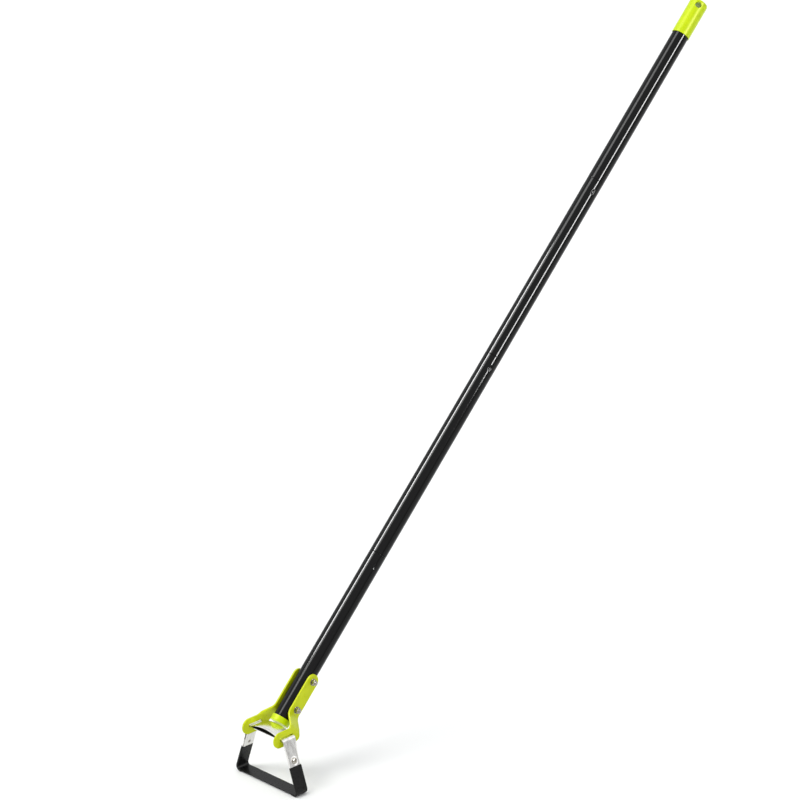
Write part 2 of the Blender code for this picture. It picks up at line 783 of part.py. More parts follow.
clear_scene()
PARTS = make_collection("stand_up_weeder")
CUTTERS = make_collection("cutters")
build_plates(build_pole())
build_stirrup()
move_origin_to_grip()
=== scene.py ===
"""Looks of the stand-up stirrup weeder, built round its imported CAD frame.

Everything is in metres. Pieces are laid out from the ground under the blade, whose place in the
frame is the mount blade_underside. Pieces of the pole are made in the pole's frame, whose Z runs up
the pole, whose X is the frame's X, and whose Y points down behind the pole. Outlines are lists of
corners with a radius for each.
"""

import json
import math

import bmesh
import bpy
from mathutils import Matrix, Vector


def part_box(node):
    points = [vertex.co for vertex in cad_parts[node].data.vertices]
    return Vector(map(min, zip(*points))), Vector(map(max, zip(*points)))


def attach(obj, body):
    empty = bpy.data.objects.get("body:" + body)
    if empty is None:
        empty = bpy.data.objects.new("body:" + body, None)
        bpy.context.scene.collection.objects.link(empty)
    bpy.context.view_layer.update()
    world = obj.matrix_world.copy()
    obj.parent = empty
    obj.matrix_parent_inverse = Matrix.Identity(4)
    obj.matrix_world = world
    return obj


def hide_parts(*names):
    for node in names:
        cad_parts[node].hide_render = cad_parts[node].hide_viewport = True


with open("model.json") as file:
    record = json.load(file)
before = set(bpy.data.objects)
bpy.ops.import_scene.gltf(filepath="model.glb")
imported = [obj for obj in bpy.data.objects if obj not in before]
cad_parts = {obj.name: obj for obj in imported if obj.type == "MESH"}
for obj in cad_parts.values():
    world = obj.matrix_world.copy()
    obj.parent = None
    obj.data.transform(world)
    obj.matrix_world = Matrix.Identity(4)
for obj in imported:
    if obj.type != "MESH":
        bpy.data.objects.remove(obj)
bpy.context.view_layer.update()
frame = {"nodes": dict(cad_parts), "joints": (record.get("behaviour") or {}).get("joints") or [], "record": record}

RECORD = frame["record"]
JOINTS = {joint["name"]: joint for joint in frame["joints"]}
BODY_OF = {node: body for body, nodes in RECORD["behaviour"]["bodies"].items() for node in nodes}
SLOT_OF = {part["node"]: part["material_slot"] for part in RECORD["subparts"]}
SIDES = {"left": -1, "right": 1}
BOLTS = ("lower", "upper")
UNDERSIDE = next(mount for mount in RECORD["mounts"] if mount["name"] == "blade_underside")
GROUND = Vector(UNDERSIDE["pos_m"])

# Fineness of the meshes.
ARC_STEP = math.radians(12)
ARC_SAG = 0.000008
TURN_SEGMENTS = 128
HEAD_SEGMENTS = 96
SMALL_SEGMENTS = 64
BORE_SEGMENTS = 48
BOLT_HOLE_SEGMENTS = 32
MERGE = 0.000001
SHARP = math.radians(38)
# Edges sharper than this are rounded: on bolts, nuts and screws, and on strip and mouldings.
HARDWARE_EDGE_ANGLE = math.radians(45)
STRIP_EDGE_ANGLE = math.radians(50)

# The clearance between neighbours, and a drill's reach in radii of what it goes through.
GAP = 0.0003
DRILL_REACH = 1.5


# ---------------------------------------------------------------- shapes


def corner_arc(before, corner, after, radius):
    """Points of the arc of this radius that touches both legs of a corner."""
    towards_before = (before - corner).normalized()
    towards_after = (after - corner).normalized()
    half = towards_before.angle(towards_after) / 2
    centre = corner + (towards_before + towards_after).normalized() * (radius / math.sin(half))
    start = corner + towards_before * (radius / math.tan(half)) - centre
    end = corner + towards_after * (radius / math.tan(half)) - centre
    sweep = math.copysign(math.pi - 2 * half, start.x * end.y - start.y * end.x)
    step = min(ARC_STEP, 2 * math.acos(1 - min(ARC_SAG / radius, 1)))
    steps = max(3, math.ceil(abs(sweep) / step))
    return [centre + Matrix.Rotation(sweep * i / steps, 2) @ start for i in range(steps + 1)]


def rounded_path(start, corners, end):
    """An open path through corners given as (a, b, radius), with its two ends sharp."""
    marks = [Vector(start)] + [Vector(corner[:2]) for corner in corners] + [Vector(end)]
    points = [marks[0]]
    for i, corner in enumerate(corners, 1):
        points += corner_arc(marks[i - 1], marks[i], marks[i + 1], corner[2])
    return points + [marks[-1]]


def rounded_outline(corners):
    """A closed outline through corners given as (a, b, radius)."""
    marks = [Vector(corner[:2]) for corner in corners]
    points = []
    for i, corner in enumerate(corners):
        points += corner_arc(marks[i - 1], marks[i], marks[(i + 1) % len(marks)], corner[2])
    return points


def with_stations(path, spacing):
    """The same path with points no further apart than this spacing."""
    points = [path[0]]
    for start, end in zip(path, path[1:]):
        steps = max(1, math.ceil((end - start).length / spacing))
        points += [start.lerp(end, i / steps) for i in range(1, steps + 1)]
    return points


def eased(start, end, value):
    """0 at start and 1 at end, level at both."""
    t = min(max((value - start) / (end - start), 0), 1)
    return t * t * (3 - 2 * t)


def finished_mesh(name, shape):
    """The shape as a mesh, with its doubled points merged and its faces turned outwards."""
    bmesh.ops.remove_doubles(shape, verts=shape.verts, dist=MERGE)
    bmesh.ops.recalc_face_normals(shape, faces=shape.faces)
    mesh = bpy.data.meshes.new(name)
    shape.to_mesh(mesh)
    shape.free()
    return mesh


def skin(shape, rows, closed_across=False, closed_along=False):
    """Makes faces through rows of points, and returns the rows of vertices."""
    grid = [[shape.verts.new(point) for point in row] for row in rows]
    following = grid[1:] + grid[:1] if closed_along else grid[1:]
    for one, other in zip(grid, following):
        for i in range(len(one) if closed_across else len(one) - 1):
            j = (i + 1) % len(one)
            shape.faces.new((one[i], one[j], other[j], other[i]))
    return grid


def grid_mesh(name, rows, closed_across=False, closed_along=False):
    """A surface through rows of points. Both ends are capped if it is only closed across."""
    shape = bmesh.new()
    grid = skin(shape, rows, closed_across, closed_along)
    if closed_across and not closed_along:
        shape.faces.new(grid[0])
        shape.faces.new(grid[-1])
    return finished_mesh(name, shape)


def turned_mesh(name, profile, closed=False, segments=TURN_SEGMENTS, push=None):
    """A profile of (radius, height) turned round Z. push(angle, radius, height) moves points out."""
    rows = []
    for i in range(segments):
        angle = 2 * math.pi * i / segments
        row = []
        for radius, height in profile:
            reach = radius + (push(angle, radius, height) if push else 0)
            row.append((reach * math.cos(angle), reach * math.sin(angle), height))
        rows.append(row)
    return grid_mesh(name, rows, closed_across=closed, closed_along=True)


def drill_mesh(radius, reach, segments):
    """A cylinder round Z that reaches this far up and down."""
    profile = [(0, -reach), (radius, -reach), (radius, reach), (0, reach)]
    return turned_mesh("drill", profile, segments=segments)


def prism_mesh(name, sides, across_flats, low, high):
    """A prism on a regular polygon, from low to high on Z."""
    shape = bmesh.new()
    radius = across_flats / 2 / math.cos(math.pi / sides)
    bmesh.ops.create_cone(
        shape, cap_ends=True, segments=sides, radius1=radius, radius2=radius, depth=high - low
    )
    bmesh.ops.translate(shape, verts=shape.verts, vec=(0, 0, (low + high) / 2))
    return finished_mesh(name, shape)


def flat_solid(name, loops, thickness, rounding):
    """A plate with these outlines (the first outside, the rest holes) and rounded edges, on Z = 0."""
    curve = bpy.data.curves.new(name, "CURVE")
    curve.dimensions = "2D"
    curve.fill_mode = "BOTH"
    curve.extrude = thickness / 2 - rounding
    curve.bevel_depth = rounding
    curve.bevel_resolution = 2
    curve.offset = -rounding
    for loop in loops:
        spline = curve.splines.new("POLY")
        spline.points.add(len(loop) - 1)
        for point, (a, b) in zip(spline.points, loop):
            point.co = (a, b, 0, 1)
        spline.use_cyclic_u = True
    holder = bpy.data.objects.new(name, curve)
    bpy.context.scene.collection.objects.link(holder)
    bpy.context.view_layer.update()
    graph = bpy.context.evaluated_depsgraph_get()
    mesh = bpy.data.meshes.new_from_object(holder.evaluated_get(graph))
    bpy.data.objects.remove(holder)
    bpy.data.curves.remove(curve)
    shape = bmesh.new()
    shape.from_mesh(mesh)
    bpy.data.meshes.remove(mesh)
    return finished_mesh(name, shape)


def circle(middle, radius, segments=40):
    """Points round this middle."""
    return [
        (
            middle.x + radius * math.cos(2 * math.pi * i / segments),
            middle.y + radius * math.sin(2 * math.pi * i / segments),
        )
        for i in range(segments)
    ]


def new_object(name, data, place=Matrix()):
    """A new object in the scene, placed over the ground under the blade."""
    obj = bpy.data.objects.new(name, data)
    bpy.context.scene.collection.objects.link(obj)
    put(obj, place)
    return obj


def put(obj, place):
    """Places an object by its matrix over the ground under the blade."""
    obj.matrix_world = Matrix.Translation(GROUND) @ place


def apply_modifiers(obj):
    """Swaps the object's mesh for what its modifiers make of it."""
    bpy.context.view_layer.update()
    graph = bpy.context.evaluated_depsgraph_get()
    mesh = bpy.data.meshes.new_from_object(obj.evaluated_get(graph))
    obj.modifiers.clear()
    obj.data = mesh


def combine(obj, mesh, place=Matrix(), operation="DIFFERENCE"):
    """Cuts a mesh at this place from obj, or joins or intersects the two."""
    other = new_object(mesh.name, mesh, place)
    boolean = obj.modifiers.new(operation.lower(), "BOOLEAN")
    boolean.operation = operation
    boolean.object = other
    apply_modifiers(obj)
    bpy.data.objects.remove(other)


def soften(obj, width, segments=2, angle=HARDWARE_EDGE_ANGLE):
    """Rounds the edges that are sharper than this angle."""
    bevel = obj.modifiers.new("edges", "BEVEL")
    bevel.width = width
    bevel.segments = segments
    bevel.limit_method = "ANGLE"
    bevel.angle_limit = angle


def stand_for(obj, node):
    """Finishes a piece and lets it stand for its CAD node."""
    obj.data.shade_smooth()
    obj.data.set_sharp_from_angle(angle=SHARP)
    weighted = obj.modifiers.new("normals", "WEIGHTED_NORMAL")
    weighted.keep_sharp = True
    obj.data.materials.clear()
    obj.data.materials.append(MATERIALS[SLOT_OF[node]])
    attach(obj, BODY_OF[node])
    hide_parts(node)
    return obj


# ---------------------------------------------------------------- places taken from the frame


def box(node):
    """(lowest, highest) corner of a node, over the ground under the blade."""
    low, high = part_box(node)
    return Vector(low) - GROUND, Vector(high) - GROUND


def pole_frame():
    """The pole's frame, with its origin at the lowest seam."""
    joint = JOINTS["unscrew_1"]
    up = Vector(joint["axis"]).normalized()
    up *= math.copysign(1, up.z)
    across = Vector((1, 0, 0))
    place = Matrix((across, up.cross(across), up)).transposed().to_4x4()
    place.translation = Vector(joint["pos_m"]) - GROUND
    return place


POLE = pole_frame()
# Up the pole and behind it, as (y, z).
POLE_UP = Vector(POLE.col[2].to_3d().yz)
POLE_BEHIND = Vector(POLE.col[1].to_3d().yz)


def span(node):
    """(lowest, highest) point of a node, measured up the pole."""
    back = POLE.inverted()
    heights = [(back @ (vertex.co - GROUND)).z for vertex in frame["nodes"][node].data.vertices]
    return min(heights), max(heights)


def half_width(node):
    """Half of a node's size on X."""
    low, high = box(node)
    return (high.x - low.x) / 2


def centre(node):
    """The middle of a node's box."""
    low, high = box(node)
    return (low + high) / 2


def across_pole(at):
    """Places Z along +X, level with this point."""
    return Matrix.Translation((0, at.y, at.z)) @ Matrix.Rotation(math.pi / 2, 4, "Y")


# ---------------------------------------------------------------- materials


# The colour sockets of a Mix node, which share their names with its other sockets.
MIX_ONE, MIX_OTHER, MIX_RESULT = 6, 7, 2


def node_of(tree, kind, sockets=None, **settings):
    """A new node with these settings, and with a value or a link for each of these sockets."""
    made = tree.nodes.new(kind)
    for name, value in settings.items():
        setattr(made, name, value)
    for name, value in (sockets or {}).items():
        if isinstance(value, bpy.types.NodeSocket):
            tree.links.new(value, made.inputs[name])
        else:
            made.inputs[name].default_value = value
    return made


def noise(tree, place, scale, detail=3.0, roughness=0.5):
    made = node_of(
        tree, "ShaderNodeTexNoise",
        {"Vector": place, "Scale": scale, "Detail": detail, "Roughness": roughness},
    )
    return made.outputs["Fac"]


def remapped(tree, value, low, high, from_low=0.3, from_high=0.7):
    """The value moved from one range to another and kept inside it."""
    made = node_of(
        tree, "ShaderNodeMapRange",
        {"Value": value, "From Min": from_low, "From Max": from_high, "To Min": low, "To Max": high},
    )
    return made.outputs["Result"]


def clouded(tree, value, one, other, from_low=0.3, from_high=0.7):
    """A colour that goes from one to the other as the value rises through this range."""
    factor = remapped(tree, value, 0.0, 1.0, from_low, from_high)
    made = node_of(tree, "ShaderNodeMix", {"Factor": factor}, data_type="RGBA")
    made.inputs[MIX_ONE].default_value = (*one, 1.0)
    made.inputs[MIX_OTHER].default_value = (*other, 1.0)
    return made.outputs[MIX_RESULT]


def bumped(tree, height, distance, under=None):
    """A normal with this height over the surface, or over the normal under it."""
    sockets = {"Height": height, "Distance": distance, "Strength": 1.0}
    if under:
        sockets["Normal"] = under
    return node_of(tree, "ShaderNodeBump", sockets).outputs["Normal"]


def object_place(tree, scale=(1, 1, 1)):
    """The place on the object. A pattern stretches on the axes whose scale is under 1."""
    coordinates = node_of(tree, "ShaderNodeTexCoord").outputs["Object"]
    if scale == (1, 1, 1):
        return coordinates
    return node_of(tree, "ShaderNodeMapping", {"Vector": coordinates, "Scale": scale}).outputs["Vector"]


def new_material(name, **constants):
    """A material with these constants on its Principled shader, and the shader's tree."""
    material = bpy.data.materials.new(name)
    material.use_nodes = True
    tree = material.node_tree
    shader = tree.nodes["Principled BSDF"]
    for key, value in constants.items():
        shader.inputs[key.replace("_", " ")].default_value = value
    return material, tree, shader


def plug_in(tree, shader, **sources):
    """Links these sockets to the shader's inputs."""
    for key, socket in sources.items():
        tree.links.new(socket, shader.inputs[key.replace("_", " ")])


def lime_paint():
    """Powder coat: a fine orange peel, a slight unevenness of colour and a few matt rubs."""
    material, tree, shader = new_material(
        "lime_powder_coat", Coat_Weight=0.06, Coat_Roughness=0.12, IOR=1.4, Specular_Tint=(1, 1, 0.3, 1)
    )
    place = object_place(tree)
    tint = noise(tree, place, 55, 4)
    peel = noise(tree, place, 1100, 2)
    dust = noise(tree, place, 4200, 2)
    plug_in(
        tree, shader,
        Base_Color=clouded(tree, tint, (0.500, 0.575, 0.001), (0.570, 0.645, 0.003)),
        Roughness=remapped(tree, noise(tree, place, 240, 5, 0.65), 0.24, 0.40),
        Normal=bumped(tree, dust, 0.000004, bumped(tree, peel, 0.00003)),
    )
    return material


def lime_plastic():
    """Moulded plastic with a light, even grain."""
    material, tree, shader = new_material(
        "lime_moulded_plastic", IOR=1.42, Specular_Tint=(1, 1, 0.35, 1),
        Subsurface_Weight=0.08, Subsurface_Radius=(0.002, 0.002, 0.0005),
    )
    place = object_place(tree)
    tint = noise(tree, place, 70, 3)
    plug_in(
        tree, shader,
        Base_Color=clouded(tree, tint, (0.500, 0.650, 0.001), (0.560, 0.710, 0.003)),
        Roughness=remapped(tree, noise(tree, place, 380, 4), 0.30, 0.42),
        Normal=bumped(tree, noise(tree, place, 2600, 2), 0.000012),
    )
    return material


def pole_paint():
    """Gloss black on drawn tube: faint lines along the pole, and a fine peel."""
    material, tree, shader = new_material("gloss_black_paint", IOR=1.27)
    lines = noise(tree, object_place(tree, (1, 1, 0.01)), 2200, 2)
    peel = noise(tree, object_place(tree, (1, 1, 0.35)), 420, 2)
    dust = noise(tree, object_place(tree), 900, 5, 0.7)
    plug_in(
        tree, shader,
        Base_Color=clouded(tree, dust, (0.0025,) * 3, (0.006,) * 3, 0.45, 0.8),
        Roughness=remapped(tree, dust, 0.05, 0.11),
        Normal=bumped(tree, lines, 0.0000015, bumped(tree, peel, 0.000005)),
    )
    return material


def blade_black():
    """Satin black coating over the rolled strip."""
    material, tree, shader = new_material("satin_black_coating", IOR=1.26)
    place = object_place(tree)
    cloud = noise(tree, place, 90, 4)
    grain = noise(tree, place, 2400, 3)
    plug_in(
        tree, shader,
        Base_Color=clouded(tree, cloud, (0.003,) * 3, (0.007,) * 3),
        Roughness=remapped(tree, noise(tree, place, 320, 5, 0.6), 0.24, 0.38),
        Normal=bumped(tree, grain, 0.00001),
    )
    return material


def polished_steel():
    """Polished stainless strip: nearly a mirror, with polishing lines and faint smears."""
    material, tree, shader = new_material("polished_stainless", Metallic=1.0)
    lines = noise(tree, object_place(tree, (1, 18, 1)), 160, 3)
    smear = noise(tree, object_place(tree, (1, 2.5, 0.6)), 90, 5, 0.7)
    plug_in(
        tree, shader,
        Base_Color=clouded(tree, smear, (0.70, 0.68, 0.65), (0.92, 0.91, 0.89)),
        Roughness=remapped(tree, smear, 0.12, 0.26),
        Normal=bumped(tree, lines, 0.000004, bumped(tree, smear, 0.00004)),
    )
    return material


def zinc_plate():
    """Zinc-plated steel: fairly bright, with a fine cloudiness."""
    material, tree, shader = new_material("bright_zinc", Metallic=1.0)
    place = object_place(tree)
    cloud = noise(tree, place, 500, 4, 0.6)
    plug_in(
        tree, shader,
        Base_Color=clouded(tree, cloud, (0.26, 0.23, 0.18), (0.50, 0.48, 0.44)),
        Roughness=remapped(tree, noise(tree, place, 900, 3), 0.14, 0.26),
        Normal=bumped(tree, noise(tree, place, 3200, 2), 0.000006),
    )
    return material


def turned_steel():
    """Lathe-turned steel: fine rings round the pole's axis."""
    material, tree, shader = new_material("turned_steel", Metallic=1.0)
    place = object_place(tree)
    lean = POLE.to_euler().x
    turned = node_of(tree, "ShaderNodeMapping", {"Vector": place, "Rotation": (-lean, 0, 0)})
    rings = node_of(
        tree, "ShaderNodeTexWave", {"Vector": turned.outputs["Vector"], "Scale": 900, "Distortion": 0.4},
        bands_direction="Z",
    )
    cloud = noise(tree, place, 300, 4)
    plug_in(
        tree, shader,
        Base_Color=clouded(tree, cloud, (0.42, 0.41, 0.40), (0.58, 0.57, 0.56)),
        Roughness=remapped(tree, cloud, 0.26, 0.40),
        Normal=bumped(tree, rings.outputs["Fac"], 0.000006),
    )
    return material


def band_gap_shade():
    """Painted shade: near-black steel for the faces that two bands turn to each other, where the gap between them
    lies in shade.
    """
    material, tree, shader = new_material("painted_shade_between_bands", Metallic=0.6)
    place = object_place(tree)
    cloud = noise(tree, place, 140, 4, 0.6)
    plug_in(
        tree, shader,
        Base_Color=clouded(tree, cloud, (0.010, 0.009, 0.008), (0.030, 0.028, 0.025)),
        Roughness=remapped(tree, noise(tree, place, 420, 3), 0.38, 0.55),
        Normal=bumped(tree, noise(tree, place, 1500, 3), 0.000008),
    )
    return material


MATERIALS = {
    "lime_paint": lime_paint(),
    "lime_plastic": lime_plastic(),
    "pole_paint": pole_paint(),
    "blade_steel": blade_black(),
    "polished_steel": polished_steel(),
    "zinc_steel": zinc_plate(),
    "turned_steel": turned_steel(),
}
# Near-black steel that stands in for the shade in the gap between the two bands.
SHADE_BETWEEN_BANDS = band_gap_shade()


# ---------------------------------------------------------------- the pole

TUBE_RADIUS = half_width("pole_section_2")
TUBE_WALL = 0.0012
TUBE_RIM = 0.0005
CRIMPS = 4
CRIMP_BELOW_END = 0.0210
CRIMP_HALF_LENGTH = 0.0060
CRIMP_HALF_ANGLE = math.radians(11)
CRIMP_FLAT_SHARE = 0.25
CRIMP_DEPTH = 0.0008
CRIMP_TURN = math.radians(-25)
CRIMP_ROWS = 16
BOLT_HOLE_RADIUS = 0.0028


def crimp_push(top):
    """Moves the tube's outer skin in at the crimps below its upper end."""
    middle = top - CRIMP_BELOW_END

    def push(angle, radius, height):
        if radius < TUBE_RADIUS - MERGE:
            return 0
        step = 2 * math.pi / CRIMPS
        off = (angle - CRIMP_TURN + step / 2) % step - step / 2
        reach = math.hypot(off / CRIMP_HALF_ANGLE, (height - middle) / CRIMP_HALF_LENGTH)
        return -CRIMP_DEPTH * (1 - eased(CRIMP_FLAT_SHARE, 1, reach))

    return push


def tube_profile(low, high, crimped):
    """The wall's outline, with rows of points for the crimps if there are any."""
    inner = TUBE_RADIUS - TUBE_WALL
    rim = TUBE_RIM / 2
    outer_corners = [(TUBE_RADIUS, low, TUBE_RIM), (TUBE_RADIUS, high, TUBE_RIM)]
    outline = rounded_outline(outer_corners + [(inner, high, rim), (inner, low, rim)])
    bottom = high - CRIMP_BELOW_END - CRIMP_HALF_LENGTH
    step = 2 * CRIMP_HALF_LENGTH / CRIMP_ROWS
    profile = []
    for start, end in zip(outline, outline[1:] + outline[:1]):
        profile.append(start)
        if crimped and start.x > TUBE_RADIUS - MERGE and end.y - start.y > CRIMP_BELOW_END:
            profile += [Vector((TUBE_RADIUS, bottom + i * step)) for i in range(CRIMP_ROWS + 1)]
    return profile


def build_tube(number):
    """A section of tube, crimped where it holds a threaded socket. The lowest has the bolts' holes."""
    node = f"pole_section_{number}"
    low, high = span(node)
    crimped = f"thread_socket_{number}" in BODY_OF
    push = crimp_push(high) if crimped else None
    mesh = turned_mesh(f"{node}_tube", tube_profile(low, high, crimped), closed=True, push=push)
    tube = new_object(f"{node}_tube", mesh, POLE)
    if number == 1:
        for which in BOLTS:
            drill = drill_mesh(BOLT_HOLE_RADIUS, TUBE_RADIUS * DRILL_REACH, BOLT_HOLE_SEGMENTS)
            combine(tube, drill, across_pole(centre(f"bracket_bolt_{which}")))
    stand_for(tube, node)


COLLAR_FLOOR = 0.0015
COLLAR_HEIGHT = 0.0095
COLLAR_SPIGOT_RADII = (0.0108, 0.0125)
COLLAR_RIM = 0.0011
COLLAR_EDGE = 0.0003


def build_collar():
    """The cup round the foot of the pole, with the spigot that plugs it."""
    node = "foot_collar"
    bottom, top = span(node)
    outer = half_width(node)
    bore = TUBE_RADIUS + GAP
    floor = bottom + COLLAR_FLOOR
    lip = bottom + COLLAR_HEIGHT
    spigot_in, spigot_out = COLLAR_SPIGOT_RADII
    profile = rounded_path(
        (0, floor),
        [
            (spigot_in, floor, COLLAR_EDGE),
            (spigot_in, top, COLLAR_EDGE),
            (spigot_out, top, COLLAR_EDGE),
            (spigot_out, floor, COLLAR_EDGE),
            (bore, floor, COLLAR_EDGE),
            (bore, lip, COLLAR_EDGE),
            (outer, lip, COLLAR_RIM / 2),
            (outer, bottom, COLLAR_RIM),
        ],
        (0, bottom),
    )
    stand_for(new_object("foot_collar_plug", turned_mesh("foot_collar_plug", profile), POLE), node)


CAP_RIM = 0.0035
CAP_LIP = 0.0004
CAP_OVER_POLE = 0.0005
CAP_HOLE_RADIUS = 0.0053
CAP_HOLE_TURN = math.radians(-47)
CAP_HOLE_EDGE = 0.0007
CAP_HOLE_FROM_TOP = 0.0100


def build_cap():
    """A sleeve on the top of the pole, closed and drilled above it for a hook."""
    node = "end_cap"
    bottom, top = span(node)
    outer = half_width(node)
    bore = TUBE_RADIUS + GAP
    inside_top = span("pole_section_4")[1] + CAP_OVER_POLE
    profile = rounded_path(
        (0, top),
        [
            (outer, top, CAP_RIM),
            (outer, bottom, CAP_LIP),
            (bore, bottom, CAP_LIP / 2),
            (bore, inside_top, CAP_LIP),
        ],
        (0, inside_top),
    )
    cap = new_object("end_cap_moulding", turned_mesh("end_cap_moulding", profile), POLE)
    drill = drill_mesh(CAP_HOLE_RADIUS, outer * DRILL_REACH, SMALL_SEGMENTS)
    turn = Matrix.Rotation(CAP_HOLE_TURN, 4, "Z") @ Matrix.Rotation(math.pi / 2, 4, "Y")
    combine(cap, drill, POLE @ Matrix.Translation((0, 0, top - CAP_HOLE_FROM_TOP)) @ turn)
    soften(cap, CAP_HOLE_EDGE, 3, STRIP_EDGE_ANGLE)
    stand_for(cap, node)


# ---------------------------------------------------------------- the side plates

PLATE_THICKNESS = 0.0030
PLATE_EDGE = 0.0005
PLATE_HEAD_TOP = 0.1003
PLATE_HEAD_BACK = 0.0275
PLATE_FRONT_ROUNDING = 0.0127
PLATE_BACK_ROUNDING = 0.0090
PLATE_NECK_FRONT_ROUNDING = 0.0070
PLATE_NECK_BACK_ROUNDING = 0.0050
STRAP_HALF_WIDTH = 0.0122
STRAP_END_ROUNDING = 0.0121
PLATE_X_AT_POLE = TUBE_RADIUS + GAP + PLATE_THICKNESS / 2
PLATE_X_AT_HEAD = box("side_plate_right")[1].x - PLATE_THICKNESS / 2
UPPER_BEND_RADIUS = 0.0130
LOWER_BEND_RADIUS = 0.0160
SLOT_HALF_WIDTH = 0.0134
SLOT_HALF_HEIGHT = 0.0027
SLOT_CORNER_RADIUS = 0.0010
# The plate's foot is the point of the pole's axis with this Y. Heights up the pole start there.
PLATE_FOOT_Y = 0.0107
UPPER_BEND = 0.0305
STRAP_END = 0.1017


def plate_foot():
    """(y, z) of the plate's foot."""
    seam = POLE.translation.yz
    along = (PLATE_FOOT_Y - seam.x) / POLE_UP.x
    return Vector((seam.x + along * POLE_UP.x, seam.y + along * POLE_UP.y))


def plate_outline(foot):
    """(y, z) round the flat plate: the head in front, and the strap that runs up the pole."""
    low, _ = box("side_plate_left")
    front, bottom, back = low.y, low.z, PLATE_HEAD_BACK

    def edge(side, y=None, z=None):
        """Where the strap's front edge (-1) or back edge (1) meets this y or this z."""
        start = foot + side * STRAP_HALF_WIDTH * POLE_BEHIND
        if y is None:
            return (start.x + (z - start.y) * POLE_UP.x / POLE_UP.y, z)
        return (y, start.y + (y - start.x) * POLE_UP.y / POLE_UP.x)

    end_back = foot + STRAP_HALF_WIDTH * POLE_BEHIND + STRAP_END * POLE_UP
    end_front = foot - STRAP_HALF_WIDTH * POLE_BEHIND + STRAP_END * POLE_UP
    return rounded_outline(
        [
            (front, bottom, PLATE_FRONT_ROUNDING),
            (back, bottom, PLATE_BACK_ROUNDING),
            (*edge(1, y=back), PLATE_NECK_BACK_ROUNDING),
            (*end_back, STRAP_END_ROUNDING),
            (*end_front, STRAP_END_ROUNDING),
            (*edge(-1, z=PLATE_HEAD_TOP), PLATE_NECK_FRONT_ROUNDING),
            (front, PLATE_HEAD_TOP, PLATE_FRONT_ROUNDING),
        ]
    )


def plate_bends():
    """(up the pole, x) along the plate's middle surface, from over the strap's end to under the head."""
    lower_bend = UPPER_BEND - (PLATE_X_AT_HEAD - PLATE_X_AT_POLE)
    bends = [
        (UPPER_BEND, PLATE_X_AT_POLE, UPPER_BEND_RADIUS),
        (lower_bend, PLATE_X_AT_HEAD, LOWER_BEND_RADIUS),
    ]
    return rounded_path((STRAP_END * 2, PLATE_X_AT_POLE), bends, (-STRAP_END, PLATE_X_AT_HEAD))


def bend_at(bends, along):
    """The plate's x this far up the pole, and the slope of the plate there."""
    for (high, x_high), (low, x_low) in zip(bends, bends[1:]):
        if along >= low:
            slope = (x_high - x_low) / (high - low)
            return x_low + slope * (along - low), slope
    return bends[-1][1], 0


def flat_plate(name, foot):
    """The plate before it is bent, lying on Z = 0 with (y, z) as its X and Y."""
    swing = Vector(JOINTS["blade_swing"]["pos_m"]) - GROUND
    slot = [
        (y * SLOT_HALF_WIDTH, swing.z + z * SLOT_HALF_HEIGHT, SLOT_CORNER_RADIUS)
        for y, z in ((-1, -1), (1, -1), (1, 1), (-1, 1))
    ]
    holes = [circle(centre(f"bracket_bolt_{which}").yz, BOLT_HOLE_RADIUS) for which in BOLTS]
    loops = [plate_outline(foot), rounded_outline(slot), *holes]
    return flat_solid(name, loops, PLATE_THICKNESS, PLATE_EDGE)


def build_plate(side, sign):
    """A side plate, with its edges cut across at the bends and each point moved to the bent shape."""
    node = f"side_plate_{side}"
    foot = plate_foot()
    bends = plate_bends()
    flat = flat_plate(node, foot)
    shape = bmesh.new()
    shape.from_mesh(flat)
    bpy.data.meshes.remove(flat)
    for along, _ in bends[1:-1]:
        at = foot + along * POLE_UP
        everything = shape.verts[:] + shape.edges[:] + shape.faces[:]
        bmesh.ops.bisect_plane(shape, geom=everything, plane_co=(*at, 0), plane_no=(*POLE_UP, 0))
    for vertex in shape.verts:
        y, z, out = vertex.co
        x, slope = bend_at(bends, (Vector((y, z)) - foot).dot(POLE_UP))
        run = math.hypot(1, slope)
        y -= POLE_UP.x * out * slope / run
        z -= POLE_UP.y * out * slope / run
        vertex.co = (sign * (x + out / run), y, z)
    stand_for(new_object(f"{node}_pressing", finished_mesh(node, shape)), node)


# ---------------------------------------------------------------- bolts, nuts, washers and screws

HEX_ACROSS = 0.0084
HEX_CHAMFER = math.radians(30)
HEX_EDGE = 0.00012
# The chamfer starts at this share of the flats' radius and is drawn to this share of the corners'.
HEX_CHAMFER_FROM = 0.97
HEX_CHAMFER_TO = 1.02
# A thread's depth in pitches, the chamfer of its tip in depths, and its rows of points to a pitch.
THREAD_DEPTH = 0.6
THREAD_TIP = 1.3
THREAD_ROWS = 6
ROD_OVERLAP = 0.0010
BOLT_RADIUS = 0.0025
BOLT_PITCH = 0.0008
BOLT_THREAD_FROM = 0.0100
BOLT_HEAD_GAP = 0.0001
NUT_BORE_GAP = 0.0001
NUT_MOUTH = 0.0005
NUT_DRILL_BEYOND = 0.0010
WASHER_EDGE = 0.00018


